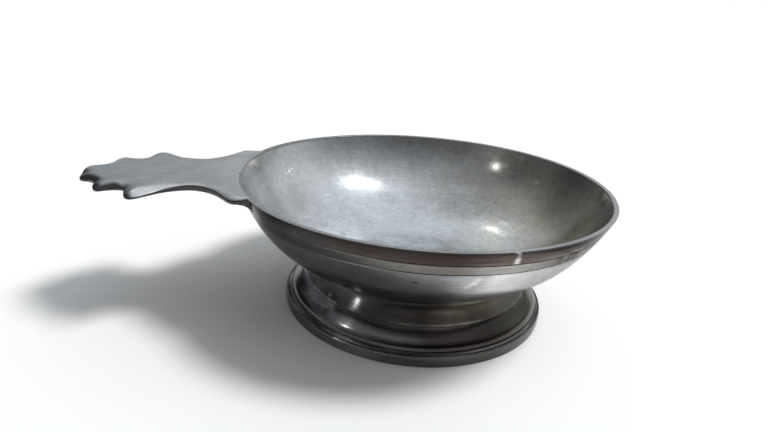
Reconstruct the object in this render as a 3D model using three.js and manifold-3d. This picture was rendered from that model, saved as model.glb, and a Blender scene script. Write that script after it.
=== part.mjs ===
// Footed pewter dish with one flat ear handle.
// Millimetres, +Z up. Origin: middle of the whole outline, on the plane the foot stands on.
// The handle points along -X, so the bowl's axis stands at x = BOWL_X.
import * as THREE from 'three';
import * as BufferGeometryUtils from 'three/addons/utils/BufferGeometryUtils.js';
import Module from 'manifold-3d';

// ---- driving dimensions -------------------------------------------------
const SEGMENTS = 64;          // facets round every turned piece

const RIM_R = 75.0;           // outer radius of the lip
const HEIGHT = 53.6;          // lip above the table
const LIP_W = 2.1;            // width of the flat lip
const WALL = 2.1;             // bowl wall, measured square to the outside
const FLOOR_WALL = 2.4;       // bowl wall at the middle of the floor
const BOWL_UNDERSIDE = 14.7;  // underside of the bowl at its middle, above the table
// turned outside of the bowl: one cubic curve, lip to floor
const BOWL_P1 = [67.45, 36.2];
const BOWL_P2 = [56.8, BOWL_UNDERSIDE];
const BOWL_P3 = [6.5, BOWL_UNDERSIDE];
const LINE_Z = [48.3, 44.4];  // heights of the two incised lines
const LINE_W = 0.7;           // their width along the wall
const LINE_D = 0.3;           // their depth

const EAR_T = 2.4;            // thickness of the ear
const EAR_DROOP = THREE.MathUtils.degToRad(1.0);  // the ear falls slightly towards its tip
const EAR_ROOT_R = RIM_R + 0.55;  // curve of the ear's root, round the bowl's axis
const EAR_ROOT_HALF = 31.9;   // half width of the ear at its root
// half outline of the ear, shoulder to tip: distance from the bowl's axis, half width
const EAR_OUTLINE = [
  [72.1, 31.9], [73.8, 30.6], [76.1, 27.2], [79.2, 22.8], [83.4, 19.1], [87.8, 17.5],
  [92.8, 18.0], [97.0, 19.9], [101.2, 23.5], [104.2, 26.3], [106.1, 27.1], [107.6, 26.0],
  [108.8, 22.5], [109.6, 19.1], [111.0, 17.4], [113.4, 17.1], [116.2, 17.8], [118.4, 18.5],
  [120.0, 17.3], [120.9, 14.2], [121.3, 11.4], [122.3, 9.7], [124.4, 7.9], [126.9, 6.1],
  [128.2, 3.3], [128.6, 0.0],
];

const BASE_R = 54.3;          // outer radius of the base band
const BASE_SEAT_Z = 11.8;     // top of the base ring, where the collar stands
const JOINT_GAP = 0.3;        // height of the soldered joint between collar and base
const COLLAR_WAIST_R = 42.15; // narrowest outer radius of the collar
const FIT = 0.2;              // clearance between the collar's top and the bowl

const EAR_PIVOT = Math.sqrt(EAR_ROOT_R ** 2 - EAR_ROOT_HALF ** 2);  // where the droop starts
const EAR_TIP = EAR_OUTLINE[EAR_OUTLINE.length - 1][0];
const EAR_REACH = EAR_PIVOT + (EAR_TIP - EAR_PIVOT) * Math.cos(EAR_DROOP);
const BOWL_X = (EAR_REACH - RIM_R) / 2;   // bowl axis, so that the outline is centred on x = 0

// ---- helpers --------------------------------------------------------------
const v2 = (a) => new THREE.Vector2(a[0], a[1]);

// Turn a list of [radius, height] round the +Z axis.
function turned(profile) {
  const g = new THREE.LatheGeometry(profile.map(v2), SEGMENTS);
  g.rotateX(Math.PI / 2);
  return g;
}

const wasm = await Module();
wasm.setup();

function toSolid(geometry) {
  let g = geometry.clone();
  g.deleteAttribute('normal');
  g.deleteAttribute('uv');
  g = BufferGeometryUtils.mergeVertices(g, 1e-4);
  const pos = g.attributes.position.array;
  const idx = [];
  for (let i = 0; i < g.index.count; i += 3) {
    const a = g.index.getX(i), b = g.index.getX(i + 1), c = g.index.getX(i + 2);
    if (a !== b && b !== c && c !== a) idx.push(a, b, c);
  }
  return new wasm.Manifold(new wasm.Mesh({
    numProp: 3, vertProperties: Float32Array.from(pos), triVerts: Uint32Array.from(idx),
  }));
}

function toGeometry(solid) {
  const m = solid.getMesh();
  const g = new THREE.BufferGeometry();
  g.setAttribute('position', new THREE.BufferAttribute(Float32Array.from(m.vertProperties), 3));
  g.setIndex(new THREE.BufferAttribute(Uint32Array.from(m.triVerts), 1));
  g.computeVertexNormals();
  return g;
}

function mesh(name, geometry, color, roughness, metalness = 1.0) {
  const m = new THREE.Mesh(geometry, new THREE.MeshStandardMaterial({ color, roughness, metalness }));
  m.name = name;
  return m;
}

// ---- bowl -------------------------------------------------------------------
const outside = new THREE.CubicBezierCurve(
  new THREE.Vector2(RIM_R, HEIGHT), v2(BOWL_P1), v2(BOWL_P2), v2(BOWL_P3));

function outsideAt(t) {
  const p = outside.getPoint(t);
  const d = outside.getTangent(t);
  return { p, n: new THREE.Vector2(-d.y, d.x) };   // n points out of the wall
}
function tAtHeight(z) {
  let a = 0, b = 1;
  for (let i = 0; i < 60; i++) {
    const m = (a + b) / 2;
    if (outside.getPoint(m).y > z) a = m; else b = m;
  }
  return (a + b) / 2;
}
function undersideAt(r) {          // height of the bowl's outside at a radius
  let a = 0, b = 1;
  for (let i = 0; i < 60; i++) {
    const m = (a + b) / 2;
    if (outside.getPoint(m).x > r) a = m; else b = m;
  }
  return outside.getPoint((a + b) / 2).y;
}

function bowlProfile() {
  const pts = [[0, BOWL_UNDERSIDE]];
  const ts = [1.0, 0.88, 0.77, 0.68, 0.6, 0.53, 0.46, 0.39, 0.32];
  const out = ts.map((t) => ({ t, at: outsideAt(t) })).map(({ t, at }) => ({ t, q: [at.p.x, at.p.y] }));
  for (const z of LINE_Z) {
    const t0 = tAtHeight(z);
    const at = outsideAt(t0);
    const len = outside.getLength();
    const dt = (LINE_W / 2) / len;
    const a = outside.getPoint(t0 - dt), b = outside.getPoint(t0 + dt);
    out.push({ t: t0 - dt, q: [a.x, a.y] });
    out.push({ t: t0, q: [at.p.x - at.n.x * LINE_D, at.p.y - at.n.y * LINE_D] });
    out.push({ t: t0 + dt, q: [b.x, b.y] });
  }
  out.sort((a, b) => b.t - a.t);
  for (const o of out) pts.push(o.q);
  // lip: a small broken edge outside and inside, flat between
  pts.push([RIM_R, HEIGHT - 0.3], [RIM_R - 0.25, HEIGHT], [RIM_R - LIP_W, HEIGHT]);
  // inside, parallel to the outside and a little thicker towards the floor
  for (const t of [0.035, 0.1, 0.18, 0.27, 0.36, 0.45, 0.54, 0.63, 0.73, 0.85, 1.0]) {
    const { p, n } = outsideAt(t);
    const w = WALL + (FLOOR_WALL - WALL) * t;
    pts.push([p.x - n.x * w, p.y - n.y * w]);
  }
  pts.push([0, BOWL_UNDERSIDE + FLOOR_WALL]);
  return pts;
}
const bowl = mesh('bowl', turned(bowlProfile()), 0xa4a7a8, 0.38);

// ---- foot: base ring ----------------------------------------------------------
// open underneath; conical skirt, rounded shoulder, two turned lines with a sloping land between, plain band
const baseProfile = [
  [50.0, 0], [BASE_R - 0.25, 0], [BASE_R, 0.5], [BASE_R, 3.1], [BASE_R - 0.3, 3.8],
  [53.6, 4.0], [53.42, 3.92], [53.3, 4.25], [52.45, 4.85], [52.05, 4.85], [52.2, 5.3], [52.15, 6.05],
  [51.75, 7.05], [51.1, 7.95], [49.0, 9.93], [46.95, BASE_SEAT_Z],
  [44.2, BASE_SEAT_Z], [44.2, 11.0], [45.4, 9.95], [48.5, 7.0], [49.4, 5.2], [49.8, 2.5], [50.0, 0],
];
const footBase = mesh('foot_base', turned(baseProfile), 0x55534f, 0.42);

// ---- foot: collar ---------------------------------------------------------------
// a cone that carries on the slope of the base ring, then turns up to the bowl
const COLLAR_Z0 = BASE_SEAT_Z + JOINT_GAP;
const collarTopOut = 43.25, collarTopIn = 39.95;
const collarProfile = [
  [44.35, COLLAR_Z0], [46.75, COLLAR_Z0], [45.3, 13.6], [43.95, 15.0], [42.85, 16.25],
  [COLLAR_WAIST_R + 0.1, 17.3], [COLLAR_WAIST_R, 18.3], [42.5, 19.2],
  [collarTopOut, undersideAt(collarTopOut) - FIT], [collarTopIn, undersideAt(collarTopIn) - FIT],
  [39.9, 17.6], [40.35, 16.3], [42.0, 14.45], [43.2, 13.25], [44.35, COLLAR_Z0],
];
const footCollar = mesh('foot_collar', turned(collarProfile), 0x4c4a48, 0.4);

// ---- solder seams of the foot ---------------------------------------------------
// collar to base: a film under the collar that stands out as a small bead
const collarBaseSolder = mesh('collar_base_solder', turned([
  [44.6, BASE_SEAT_Z + 0.07], [46.9, BASE_SEAT_Z + 0.07], [47.12, BASE_SEAT_Z + 0.2],
  [46.95, BASE_SEAT_Z + 0.42], [46.8, BASE_SEAT_Z + 0.23], [44.6, BASE_SEAT_Z + 0.23],
  [44.6, BASE_SEAT_Z + 0.07],
]), 0x6a6a68, 0.6);

// bowl to collar: a fillet on the inner side of the foot
const bowlCollarSolder = mesh('bowl_collar_solder', turned([
  [39.72, 17.7], [39.72, undersideAt(39.72) - 0.12], [37.2, undersideAt(37.2) - 0.12],
  [38.3, undersideAt(38.3) - 0.6], [39.72, 17.7],
]), 0x77787a, 0.55);

// ---- ear handle ---------------------------------------------------------------
function earShape() {
  // outline spline through the half outline and its mirror image, then the root's arc
  const half = EAR_OUTLINE.map((q) => new THREE.Vector2(-q[0], q[1]));
  const mirror = EAR_OUTLINE.slice(0, -1).reverse().map((q) => new THREE.Vector2(-q[0], -q[1]));
  const spline = new THREE.SplineCurve([...half, ...mirror]);
  const pts = [new THREE.Vector2(-EAR_PIVOT, EAR_ROOT_HALF), ...spline.getPoints(130)];
  const a = Math.asin(EAR_ROOT_HALF / EAR_ROOT_R);
  const n = 24;
  for (let i = 0; i < n; i++) {
    const k = -a + (2 * a * i) / n;
    pts.push(new THREE.Vector2(-EAR_ROOT_R * Math.cos(k), EAR_ROOT_R * Math.sin(k)));
  }
  return new THREE.Shape(pts);
}
const earGeometry = new THREE.ExtrudeGeometry(earShape(), { depth: EAR_T, bevelEnabled: false, steps: 1 });
earGeometry.translate(EAR_PIVOT, 0, -EAR_T);     // droop axis to the origin, top face at z = 0
const ear = mesh('ear_handle', earGeometry, 0x8b8d8e, 0.4);
ear.rotation.y = -EAR_DROOP;
ear.position.set(-EAR_PIVOT, 0, HEIGHT);

// solder seam of the ear: a strip between its root and the wall, with a fillet underneath
const seamRing = toSolid(turned([
  [RIM_R + 0.08, HEIGHT - 0.3], [73.7, HEIGHT - EAR_T - 1.0], [73.0, HEIGHT - EAR_T - 2.6],
  [RIM_R - 0.2, HEIGHT - EAR_T - 1.3], [RIM_R + 2.1, HEIGHT - EAR_T - 0.42],
  [RIM_R + 0.3, HEIGHT - EAR_T - 0.32], [RIM_R + 0.3, HEIGHT - 0.3], [RIM_R + 0.08, HEIGHT - 0.3],
]));
const sectorHalf = Math.asin((EAR_ROOT_HALF - 0.4) / RIM_R);
const sector = new THREE.Shape([
  new THREE.Vector2(0, 0),
  new THREE.Vector2(-100, 100 * Math.tan(sectorHalf)),
  new THREE.Vector2(-100, -100 * Math.tan(sectorHalf)),
]);
const sectorGeometry = new THREE.ExtrudeGeometry(sector, { depth: 20, bevelEnabled: false });
sectorGeometry.translate(0, 0, HEIGHT - 15);
const handleSolder = mesh('handle_solder', toGeometry(seamRing.intersect(toSolid(sectorGeometry))), 0x4a4a4b, 0.55);

// ---- assembly -------------------------------------------------------------------
const dish = new THREE.Group();
dish.position.x = BOWL_X;
dish.add(bowl, ear, footCollar, footBase, handleSolder, collarBaseSolder, bowlCollarSolder);

const model = new THREE.Group();
model.add(dish);

export default model;
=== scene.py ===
import math

import bpy
import bmesh
import numpy as np
from mathutils import Matrix, Vector
from mathutils.geometry import delaunay_2d_cdt


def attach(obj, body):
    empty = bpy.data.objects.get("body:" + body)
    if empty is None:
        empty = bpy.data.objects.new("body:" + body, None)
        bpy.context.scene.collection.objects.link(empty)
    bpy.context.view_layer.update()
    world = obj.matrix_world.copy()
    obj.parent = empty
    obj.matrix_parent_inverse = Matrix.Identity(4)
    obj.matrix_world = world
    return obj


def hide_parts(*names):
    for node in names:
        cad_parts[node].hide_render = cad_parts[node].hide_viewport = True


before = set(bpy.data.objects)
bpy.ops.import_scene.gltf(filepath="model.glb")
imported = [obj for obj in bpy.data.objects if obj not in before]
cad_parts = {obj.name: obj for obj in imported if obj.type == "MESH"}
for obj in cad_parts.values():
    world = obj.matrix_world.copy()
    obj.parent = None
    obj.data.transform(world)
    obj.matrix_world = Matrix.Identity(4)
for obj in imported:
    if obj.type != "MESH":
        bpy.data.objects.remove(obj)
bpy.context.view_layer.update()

# ---------------------------------------------------------------- sizes, mm
MM = 0.001
RIM_R = 75.0
H = 53.6
EAR_REACH = 128.594          # tip of the ear from the bowl's axis
AX = (EAR_REACH - RIM_R) / 2  # x of the bowl's axis in the part's frame
EAR_T = 2.4
EAR_PIVOT = 68.48
EAR_DROOP = math.radians(1.0)
EAR_UP = 0.45                # the ear laps over the lip
EAR_SHIFT = 0.7              # it sits a little to one side
BEZ = np.array([(75.0, 53.6), (67.45, 36.2), (56.8, 14.7), (6.5, 14.7)])


def smooth(x):
    x = np.clip(x, 0.0, 1.0)
    return x * x * (3 - 2 * x)


def wrap(a):
    return (a + math.pi) % (2 * math.pi) - math.pi


def dent(az, z):
    """How far the rim stands in towards the axis where the ear is joined to it."""
    return 1.45 * np.exp(-(wrap(az - math.pi) / math.radians(33)) ** 2) * smooth((z - 26) / (H - 26))


def waves(seed, count, top):
    """A smooth periodic function of azimuth, about -1 to 1."""
    rng = np.random.default_rng(seed)
    k = rng.integers(1, top + 1, count)
    p = rng.uniform(0, 2 * math.pi, count)
    a = rng.uniform(0.4, 1.0, count) / np.sqrt(k)
    a = a / np.sqrt((a ** 2).sum())
    return lambda az: sum(a[i] * np.sin(k[i] * az + p[i]) for i in range(count))


# ---------------------------------------------------------------- mesh helpers
def to_object(name, verts_mm, faces, mats, index=None):
    me = bpy.data.meshes.new(name)
    me.from_pydata((np.asarray(verts_mm) * MM).tolist(), [], faces)
    for m in mats:
        me.materials.append(m)
    if index is not None:
        me.polygons.foreach_set("material_index", np.asarray(index, dtype=np.int32))
    bm = bmesh.new()
    bm.from_mesh(me)
    bmesh.ops.recalc_face_normals(bm, faces=bm.faces)
    for f in bm.faces:
        f.smooth = True
    bm.to_mesh(me)
    bm.free()
    me.update()
    o = bpy.data.objects.new(name, me)
    bpy.context.scene.collection.objects.link(o)
    return o


def lathe(name, prof, seg, mats, seg_mat=None, shape=None):
    """Turns an (r, z) profile round the bowl's axis. A profile that starts and ends on the axis is closed there; any other is a ring."""
    prof = np.asarray(prof, dtype=float)
    n = len(prof)
    az = np.arange(seg) * 2 * math.pi / seg
    verts, rows = [], []
    for i in range(n):
        r, z = prof[i]
        if r < 1e-6:
            rows.append([len(verts)] * seg)
            verts.append((AX, 0.0, z))
            continue
        rr = np.full(seg, r)
        zz = np.full(seg, z)
        if shape is not None:
            rr, zz = shape(az, rr, zz, i)
        start = len(verts)
        verts.extend(zip(AX + rr * np.cos(az), rr * np.sin(az), zz))
        rows.append(list(range(start, start + seg)))
    ring = prof[0][0] > 1e-6
    faces, index = [], []
    for i in range(n if ring else n - 1):
        a, b = rows[i], rows[(i + 1) % n]
        m = 0 if seg_mat is None else int(seg_mat[i])
        for k in range(seg):
            k2 = (k + 1) % seg
            f = [a[k], a[k2], b[k2], b[k]]
            g = []
            for v in f:
                if v not in g:
                    g.append(v)
            if len(g) > 2:
                faces.append(g)
                index.append(m)
    return to_object(name, verts, faces, mats, index)


def fillet(pts, radii, steps=6, closed=True):
    """Rounds the corners of a polyline."""
    pts = [np.asarray(p, dtype=float) for p in pts]
    out = []
    n = len(pts)
    for i in range(n):
        if not closed and i in (0, n - 1):
            out.append(pts[i])
            continue
        p, a, b = pts[i], pts[i - 1], pts[(i + 1) % n]
        rad = radii[i]
        if rad <= 0:
            out.append(p)
            continue
        u = a - p
        v = b - p
        lu, lv = np.linalg.norm(u), np.linalg.norm(v)
        u /= lu
        v /= lv
        ang = math.acos(max(-1, min(1, float(u @ v))))
        t = min(rad / math.tan(ang / 2), 0.48 * lu, 0.48 * lv)
        rad = t * math.tan(ang / 2)
        c = p + (u + v) / np.linalg.norm(u + v) * (rad / math.sin(ang / 2))
        s0 = p + u * t - c
        s1 = p + v * t - c
        a0 = math.atan2(s0[1], s0[0])
        da = (math.atan2(s1[1], s1[0]) - a0 + math.pi) % (2 * math.pi) - math.pi
        for k in range(steps + 1):
            w = a0 + da * k / steps
            out.append(c + rad * np.array([math.cos(w), math.sin(w)]))
    return np.array(out)


def catmull(pts, per=12, closed=False):
    """Centripetal Catmull-Rom curve through the points."""
    P = [np.asarray(p, dtype=float) for p in pts]
    n = len(P)
    out = []
    last = n if closed else n - 1
    for i in range(last):
        p1, p2 = P[i], P[(i + 1) % n]
        p0 = P[i - 1] if (closed or i > 0) else 2 * p1 - p2
        p3 = P[(i + 2) % n] if (closed or i + 2 < n) else 2 * p2 - p1
        t0 = 0.0
        t1 = t0 + max(np.linalg.norm(p1 - p0), 1e-9) ** 0.5
        t2 = t1 + max(np.linalg.norm(p2 - p1), 1e-9) ** 0.5
        t3 = t2 + max(np.linalg.norm(p3 - p2), 1e-9) ** 0.5
        for k in range(per):
            t = t1 + (t2 - t1) * k / per
            a1 = (t1 - t) / (t1 - t0) * p0 + (t - t0) / (t1 - t0) * p1
            a2 = (t2 - t) / (t2 - t1) * p1 + (t - t1) / (t2 - t1) * p2
            a3 = (t3 - t) / (t3 - t2) * p2 + (t - t2) / (t3 - t2) * p3
            b1 = (t2 - t) / (t2 - t0) * a1 + (t - t0) / (t2 - t0) * a2
            b2 = (t3 - t) / (t3 - t1) * a2 + (t - t1) / (t3 - t1) * a3
            out.append((t2 - t) / (t2 - t1) * b1 + (t - t1) / (t2 - t1) * b2)
    if not closed:
        out.append(P[-1])
    return np.array(out)


def resample(pts, step, closed=False):
    p = np.asarray(pts, dtype=float)
    if closed:
        p = np.vstack([p, p[:1]])
    d = np.concatenate([[0], np.cumsum(np.linalg.norm(np.diff(p, axis=0), axis=1))])
    n = max(2, int(round(d[-1] / step)))
    s = np.linspace(0, d[-1], n + 1)
    q = np.stack([np.interp(s, d, p[:, k]) for k in range(p.shape[1])], -1)
    return q[:-1] if closed else q


# ---------------------------------------------------------------- material helpers
class Graph:
    """A small wrapper that writes node graphs."""

    def __init__(self, name, metallic=1.0):
        self.mat = bpy.data.materials.new(name)
        self.mat.use_nodes = True
        self.nt = self.mat.node_tree
        self.nt.nodes.clear()
        self.out = self.nt.nodes.new("ShaderNodeOutputMaterial")
        self.bsdf = self.nt.nodes.new("ShaderNodeBsdfPrincipled")
        self.nt.links.new(self.bsdf.outputs[0], self.out.inputs[0])
        self.bsdf.inputs["Metallic"].default_value = metallic
        tc = self.nt.nodes.new("ShaderNodeTexCoord")
        mm = self.v("MULTIPLY", tc.outputs["Object"], (1000.0, 1000.0, 1000.0))
        self.p = self.v("SUBTRACT", mm, (AX, 0.0, 0.0))
        s = self.nt.nodes.new("ShaderNodeSeparateXYZ")
        self.put(s.inputs[0], self.p)
        self.x, self.y, self.z = s.outputs[0], s.outputs[1], s.outputs[2]
        flat = self.v("MULTIPLY", self.p, (1.0, 1.0, 0.0))
        self.r = self.v("LENGTH", flat)
        self.dir = self.v("NORMALIZE", flat)

    def put(self, socket, value):
        if isinstance(value, bpy.types.NodeSocket):
            self.nt.links.new(value, socket)
        else:
            socket.default_value = value

    def m(self, op, a, b=None, c=None, clamp=False):
        n = self.nt.nodes.new("ShaderNodeMath")
        n.operation = op
        n.use_clamp = clamp
        for i, x in enumerate((a, b, c)):
            if x is not None:
                self.put(n.inputs[i], x)
        return n.outputs[0]

    def v(self, op, a, b=None):
        n = self.nt.nodes.new("ShaderNodeVectorMath")
        n.operation = op
        self.put(n.inputs[0], a)
        if b is not None:
            if op == "SCALE":
                self.put(n.inputs["Scale"], b)
            else:
                self.put(n.inputs[1], b)
        return n.outputs["Value"] if op in ("LENGTH", "DOT_PRODUCT", "DISTANCE") else n.outputs["Vector"]

    def xyz(self, x, y, z):
        n = self.nt.nodes.new("ShaderNodeCombineXYZ")
        for i, q in enumerate((x, y, z)):
            self.put(n.inputs[i], q)
        return n.outputs[0]

    def mapped(self, vec, loc=(0, 0, 0), rot=(0, 0, 0), scale=(1, 1, 1)):
        n = self.nt.nodes.new("ShaderNodeMapping")
        self.put(n.inputs["Vector"], vec)
        n.inputs["Location"].default_value = loc
        n.inputs["Rotation"].default_value = [math.radians(a) for a in rot]
        n.inputs["Scale"].default_value = scale
        return n.outputs[0]

    def noise(self, vec, scale, detail=4.0, rough=0.55, distort=0.0):
        n = self.nt.nodes.new("ShaderNodeTexNoise")
        self.put(n.inputs["Vector"], vec)
        n.inputs["Scale"].default_value = scale
        n.inputs["Detail"].default_value = detail
        n.inputs["Roughness"].default_value = rough
        n.inputs["Distortion"].default_value = distort
        return n.outputs[0]

    def cells(self, vec, scale, feature="F1", random=1.0):
        n = self.nt.nodes.new("ShaderNodeTexVoronoi")
        n.feature = feature
        self.put(n.inputs["Vector"], vec)
        n.inputs["Scale"].default_value = scale
        n.inputs["Randomness"].default_value = random
        return n.outputs["Distance"]

    def remap(self, x, a, b, c=0.0, d=1.0, kind="SMOOTHSTEP"):
        n = self.nt.nodes.new("ShaderNodeMapRange")
        n.interpolation_type = kind
        n.clamp = True
        self.put(n.inputs[0], x)
        for i, q in enumerate((a, b, c, d)):
            n.inputs[i + 1].default_value = q
        return n.outputs[0]

    def mix(self, fac, a, b, kind="MIX"):
        n = self.nt.nodes.new("ShaderNodeMix")
        n.data_type = "RGBA"
        n.blend_type = kind
        n.clamp_factor = True
        self.put(n.inputs[0], fac)
        for i, q in ((6, a), (7, b)):
            if isinstance(q, tuple) and len(q) == 3:
                q = (*q, 1.0)
            self.put(n.inputs[i], q)
        return n.outputs[2]

    def scale_colour(self, col, f):
        """Colour times a number."""
        return self.v("SCALE", col, f)

    def spot(self, at, radius, soft=0.5):
        """1 inside a ball about a point of the part's frame (mm), 0 outside."""
        d = self.v("DISTANCE", self.p, (at[0] - AX, at[1], at[2]))
        return self.remap(d, radius * (1 - soft), radius, 1.0, 0.0)

    def turned(self, along, k_az, k_s):
        """Coordinates that run slowly round the axis and fast along the profile, for turning marks."""
        a = self.v("SCALE", self.dir, k_az)
        return self.v("ADD", a, self.xyz(0.0, 0.0, self.m("MULTIPLY", along, k_s)))

    def add(self, *terms):
        """Sum of (socket, weight) pairs."""
        total = None
        for s, w in terms:
            t = self.m("MULTIPLY", s, w)
            total = t if total is None else self.m("ADD", total, t)
        return total

    def bump(self, height_mm, strength=1.0):
        n = self.nt.nodes.new("ShaderNodeBump")
        n.inputs["Strength"].default_value = strength
        n.inputs["Distance"].default_value = MM
        self.put(n.inputs["Height"], height_mm)
        self.put(self.bsdf.inputs["Normal"], n.outputs[0])

    def radial_tangent(self):
        n = self.nt.nodes.new("ShaderNodeTangent")
        n.direction_type = "RADIAL"
        n.axis = "Z"
        self.put(self.bsdf.inputs["Tangent"], n.outputs[0])

    def toward(self, az, wide, narrow):
        """1 within `narrow` degrees of an azimuth, 0 beyond `wide` degrees."""
        a = math.radians(az)
        d = self.v("DOT_PRODUCT", self.dir, (math.cos(a), math.sin(a), 0.0))
        return self.remap(d, math.cos(math.radians(wide)), math.cos(math.radians(narrow)))

    def round_ramp(self, stops, wobble):
        """Colour by azimuth: stops are (degrees from +X, colour); the two ends join."""
        a = self.m("ARCTAN2", self.y, self.x)
        t = self.m("MULTIPLY_ADD", a, 1 / (2 * math.pi), 1.0)
        t = self.m("FRACT", self.m("ADD", t, wobble))
        pos = sorted(((d % 360) / 360, c) for d, c in stops)
        (p0, c0), (p1, c1) = pos[-1], pos[0]
        k = (1 - p0) / (1 - p0 + p1)
        end = [c0[i] * (1 - k) + c1[i] * k for i in range(3)] + [1.0]
        n = self.nt.nodes.new("ShaderNodeValToRGB")
        n.color_ramp.interpolation = "EASE"
        n.color_ramp.elements[0].color = end
        n.color_ramp.elements[1].color = end
        for q, c in pos:
            n.color_ramp.elements.new(q).color = (*c, 1.0)
        self.put(n.inputs[0], t)
        return n.outputs[0]

    def stroke(self, a, b, half, soft=0.6):
        """1 near the line between two points of the part's frame (mm), 0 away from it."""
        a = Vector(a) - Vector((AX, 0.0, 0.0))
        ab = Vector(b) - Vector((AX, 0.0, 0.0)) - a
        t = self.m("DIVIDE", self.v("DOT_PRODUCT", self.v("SUBTRACT", self.p, a), ab), ab.length_squared, clamp=True)
        q = self.v("ADD", self.v("SCALE", ab, t), a)
        return self.remap(self.v("DISTANCE", self.p, q), half * (1 - soft), half, 1.0, 0.0)

    def any_of(self, masks):
        total = masks[0]
        for q in masks[1:]:
            total = self.m("MAXIMUM", total, q)
        return total

    def normal(self):
        n = self.nt.nodes.new("ShaderNodeNewGeometry")
        s = self.nt.nodes.new("ShaderNodeSeparateXYZ")
        self.put(s.inputs[0], n.outputs["Normal"])
        return n.outputs["Normal"], s.outputs[2]


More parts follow.
